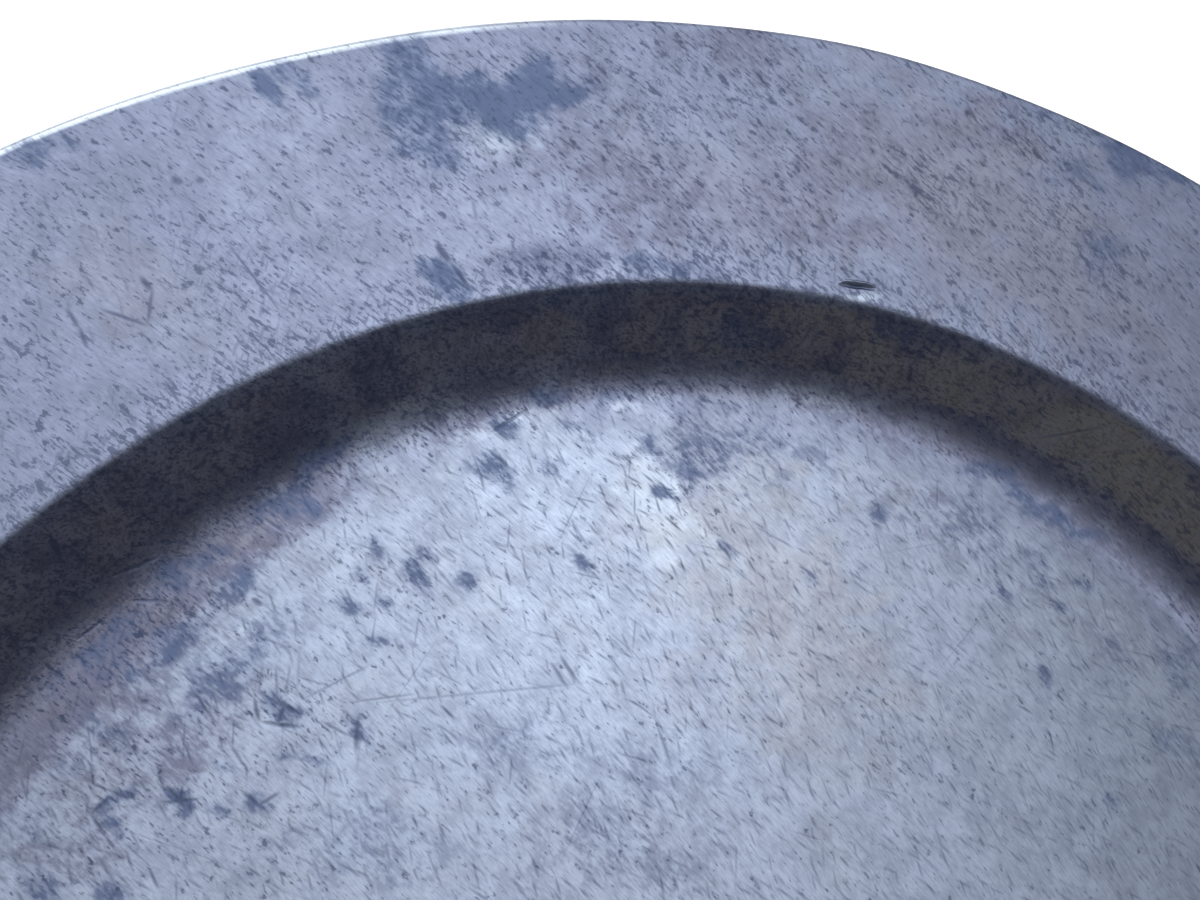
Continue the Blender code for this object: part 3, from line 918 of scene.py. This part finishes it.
def dull_solder(colours):
    """Lead-rich solder, smeared on with an iron and never scoured: a flat grey with soft lumps."""
    material, add, mm = new_surface("Dull solder")
    lumps = add("TexNoise", {"Vector": mm, "Scale": 1 / 2.2, "Detail": 3.0, "Roughness": 0.6})
    smears = add("TexNoise", {"Vector": mm, "Scale": 1 / 9, "Detail": 2.0})
    tone = add("MapRange", (smears, 0.3, 0.7, 0.7, 1.25), **SMOOTH)
    colour = add("VectorMath", {0: colours.solder, 3: tone}, operation="SCALE")
    rough = add("MapRange", (lumps, 0.3, 0.7, 0.5, 0.68), **SMOOTH)
    relief = add("Bump", {"Strength": 0.6, "Distance": 0.0003, "Height": lumps})
    return finish_metal(material, colour, rough, relief)


def white_paper(colours):
    """Smooth matt paper: an even white without grain, which glows only for the rays that see it."""
    material = bpy.data.materials.new("White paper")
    material.use_nodes = True
    tree = material.node_tree
    shader = tree.nodes["Principled BSDF"]
    shader.inputs["Base Color"].default_value = (*colours.paper, 1)
    shader.inputs["Roughness"].default_value = 0.9
    shader.inputs["Emission Color"].default_value = (1, 1, 1, 1)
    path = add_node(tree, "LightPath", output=None)
    seen = path.outputs["Is Camera Ray"]
    for kind in ("Is Glossy Ray", "Is Transmission Ray"):
        seen = add_node(tree, "Math", (seen, path.outputs[kind]), operation="MAXIMUM")
    glow = add_node(tree, "Math", (seen, PAPER_GLOW), operation="MULTIPLY")
    tree.links.new(glow, shader.inputs["Emission Strength"])
    return material


def studio_room():
    """The world: a room that is bright beyond one side of the tray, and a white backdrop to the camera."""
    world = bpy.data.worlds.new("Studio room")
    world.use_nodes = True
    tree = world.node_tree
    background = tree.nodes["Background"]
    path = add_node(tree, "LightPath", output=None)
    way = add_node(tree, "TexCoord", output=0)
    facing = add_node(tree, "VectorMath", (way, BRIGHT_SIDE), output=1, operation="DOT_PRODUCT")
    room = add_node(tree, "MapRange", (facing, *ROOM_FADE), **SMOOTH)
    light = add_node(tree, "Math", (room, path.outputs["Is Camera Ray"]), operation="MAXIMUM")
    tree.links.new(light, background.inputs["Strength"])
    background.inputs["Color"].default_value = (1, 1, 1, 1)
    return world


def tray_settings(context):
    """The scene's sizes and colours, and the section that the sizes give."""
    scene = context.scene
    return scene.pewter_tray_sizes, scene.pewter_tray_colours, Section(scene.pewter_tray_sizes)


class PEWTER_OT_dish(bpy.types.Operator):
    """Model the dish in one skin: floor, wall, rim, edge and underside"""

    bl_idname = "pewter_tray.dish"
    bl_label = "Dish"

    def execute(self, context):
        sizes, colours, section = tray_settings(context)
        floor_ring = (section.foot[0] - FLOOR_INSET, sizes.floor_thickness)
        under_ring = (section.foot[0] - UNDER_INSET, 0.0)
        under_edge = (sizes.edge_radius, section.rim(sizes.edge_radius, sizes.rim_thickness))
        under_shoulder = section.under_shoulder()
        under_foot = (section.under_wall(0.0), 0.0)
        rings = [floor_ring, section.foot]
        for share in WALL_SHARES:
            across = section.foot[0] + share * (section.shoulder[0] - section.foot[0])
            rings.append((across, section.foot[1] + share * (section.shoulder[1] - section.foot[1])))
        rings.append(section.shoulder)
        rings += stops(section.shoulder[0], section.edge[0], RIM_STEPS, section.rim)
        for inset in EDGE_INSETS:
            rings.append((section.edge[0] - inset, section.rim(section.edge[0] - inset)))
        rings += [section.edge, under_edge]
        underside = partial(section.rim, below=sizes.rim_thickness)
        rings += stops(section.edge[0], under_shoulder[0], RIM_STEPS, underside)
        rings += [under_shoulder, under_foot, under_ring]
        dish = open_ring("dish", *floor_ring, sizes.segments)
        extrude_rings(rings)
        tilt = math.atan(section.slope)
        bend = sizes.wall_angle - tilt
        round_ring(dish, section.foot, FOOT_ROUNDING, sizes.wall_angle, 10)
        round_ring(dish, section.shoulder, SHOULDER_ROUNDING, bend, 8)
        round_ring(dish, section.edge, EDGE_ROUNDING, math.pi / 2 + tilt, 8)
        round_ring(dish, under_edge, UNDER_EDGE_ROUNDING, math.pi / 2 - tilt, 3)
        round_ring(dish, under_shoulder, UNDER_SHOULDER_ROUNDING, bend, 6)
        round_ring(dish, under_foot, UNDER_FOOT_ROUNDING, sizes.wall_angle, 8)
        for ring in (floor_ring, under_ring):
            select_rings(dish, [ring])
            bpy.ops.mesh.fill_grid(span=sizes.segments // 4)
        close_piece(dish)
        wear_dish(dish, sizes, section)
        tables = (OXIDE_PATCHES, RUBBED_AND_LIT_PATCHES, PITTED_PATCHES, DULL_AND_SHADE_PATCHES, WARM_BLUSHES, PLACED_CUTS)
        placed = [[Mark(section, *mark) for mark in table] for table in tables]
        patches, cuts = placed[0], placed[-1]
        small = [mark for mark in patches + cuts if mark.half_width < SMALL_MARK]
        refine_near(dish, small, 0.0006, 2)
        refine_near(dish, cuts, 0.0001, 4)
        refine_near(dish, cuts[:1], 0.0004, 2)
        sink_cuts(dish, cuts)
        paint_pewter(dish, section, *placed)
        metal = pewter("Old pewter, scoured and pitted", colours)
        seat_piece(dish, metal, "tray_body")
        return {"FINISHED"}


class PEWTER_OT_bead(bpy.types.Operator):
    """Model the half-round bead under the rim's edge"""

    bl_idname = "pewter_tray.bead"
    bl_label = "Edge bead"

    def execute(self, context):
        sizes, colours, section = tray_settings(context)
        outer = bead_box[1].x
        inner = outer - BEAD_WIDTH
        bottom = bead_box[0].z + sizes.warp
        rings = [
            (outer, section.rim(outer, sizes.rim_thickness + GAP)),
            (outer, bottom),
            (inner, bottom),
            (inner, section.rim(inner, sizes.rim_thickness + GAP)),
        ]
        bead = open_ring("edge_bead_metal", *rings[0], sizes.segments)
        extrude_rings(rings)
        select_rings(bead, [rings[0], rings[3]])
        bpy.ops.mesh.bridge_edge_loops()
        for ring, (rounding, steps) in zip(rings, BEAD_ROUNDINGS):
            round_ring(bead, ring, rounding, math.pi / 2, steps)
        close_piece(bead)
        for vert in bead.data.vertices:
            vert.co += bend_rim(vert.co, sizes)
        paint_pewter(bead, section)
        metal = pewter("Old pewter, bead", colours)
        seat_piece(bead, metal, "edge_bead")
        return {"FINISHED"}


class PEWTER_OT_solder(bpy.types.Operator):
    """Model the hollow-faced fillet of solder behind the bead"""

    bl_idname = "pewter_tray.solder"
    bl_label = "Solder fillet"

    def execute(self, context):
        sizes, colours, section = tray_settings(context)
        outer = bead_box[1].x - BEAD_WIDTH - GAP
        inner = outer - SOLDER_WIDTH
        low = solder_box[0].z
        top = section.rim(inner, sizes.rim_thickness + GAP)
        rings = [(outer, section.rim(outer, sizes.rim_thickness + GAP)), (outer, low)]
        steps = 6
        for step in range(steps + 1):
            angle = math.radians(90) * step / steps
            radius = inner + (outer - SOLDER_LIP - inner) * math.cos(angle)
            rings.append((radius, low + (top - SOLDER_LIP - low) * math.sin(angle)))
        rings.append((inner, top))
        solder = open_ring("solder_fillet", *rings[0], sizes.segments)
        extrude_rings(rings)
        select_rings(solder, [rings[0], rings[-1]])
        bpy.ops.mesh.bridge_edge_loops()
        close_piece(solder)
        for vert in solder.data.vertices:
            place = vert.co.copy()
            radius = math.hypot(place.x, place.y)
            clear = 2 * GAP
            if outer - clear > radius and place.z < section.rim(radius, sizes.rim_thickness) - clear:
                vert.co.z += SOLDER_LUMPS * wave(place, 0.006, 7.3)
            vert.co += bend_rim(place, sizes)
        seat_piece(solder, dull_solder(colours), "bead_solder")
        return {"FINISHED"}


def softbox(name, azimuth, from_zenith, distance, size, radiance):
    """A square lamp aimed at the tray. Azimuth runs from the far side to the right, in degrees."""
    turn = math.radians(azimuth)
    lean = math.radians(from_zenith)
    place = distance * Vector(
        (math.sin(turn) * math.sin(lean), math.cos(turn) * math.sin(lean), math.cos(lean))
    )
    bpy.ops.object.light_add(type="AREA", location=place)
    lamp = bpy.context.object
    lamp.name = name
    lamp.data.shape = "SQUARE"
    lamp.data.size = size
    lamp.data.energy = math.pi * size**2 * radiance
    lamp.rotation_euler = (-place).to_track_quat("-Z", "Y").to_euler()


class PEWTER_OT_stage(bpy.types.Operator):
    """Set the paper, the lamps, the world and the camera"""

    bl_idname = "pewter_tray.stage"
    bl_label = "Studio stage"

    def execute(self, context):
        scene = context.scene
        bpy.ops.object.select_all(action="DESELECT")
        bpy.ops.mesh.primitive_plane_add(size=PAPER_SIZE, location=(0, 0, -PAPER_DEPTH))
        floor = context.object
        floor.name = "studio_paper"
        bpy.ops.object.transform_apply(location=True, rotation=True, scale=True)
        floor.data.materials.append(white_paper(scene.pewter_tray_colours))
        scene.world = studio_room()
        for lamp in SOFTBOXES:
            softbox(*lamp)

        bpy.ops.object.camera_add(location=CAMERA_PLACE, rotation=CAMERA_TURN)
        camera = context.object
        camera.data.lens = LENS_MM
        camera.data.sensor_width = SENSOR_MM
        camera.data.clip_start = 0.005
        scene.camera = camera
        scene.view_settings.view_transform = "Standard"
        return {"FINISHED"}


class PEWTER_PT_panel(bpy.types.Panel):
    """The sizes and colours, and a button for each piece and for the stage"""

    bl_idname = "PEWTER_PT_panel"
    bl_label = "Pewter tray"
    bl_space_type = "VIEW_3D"
    bl_region_type = "UI"
    bl_category = "Pewter tray"

    def draw(self, context):
        for group in (context.scene.pewter_tray_sizes, context.scene.pewter_tray_colours):
            for name in group.__annotations__:
                self.layout.prop(group, name)
        for operator in OPERATORS:
            self.layout.operator(operator.bl_idname)


OPERATORS = (PEWTER_OT_dish, PEWTER_OT_bead, PEWTER_OT_solder, PEWTER_OT_stage)
CLASSES = (TraySizes, TrayColours, *OPERATORS, PEWTER_PT_panel)


def register():
    for entry in CLASSES:
        bpy.utils.register_class(entry)
    bpy.types.Scene.pewter_tray_sizes = bpy.props.PointerProperty(type=TraySizes)
    bpy.types.Scene.pewter_tray_colours = bpy.props.PointerProperty(type=TrayColours)


def unregister():
    del bpy.types.Scene.pewter_tray_colours
    del bpy.types.Scene.pewter_tray_sizes
    for entry in reversed(CLASSES):
        bpy.utils.unregister_class(entry)


def main():
    register()
    bpy.ops.pewter_tray.dish()
    bpy.ops.pewter_tray.bead()
    bpy.ops.pewter_tray.solder()
    bpy.ops.pewter_tray.stage()


if __name__ == "__main__":
    main()
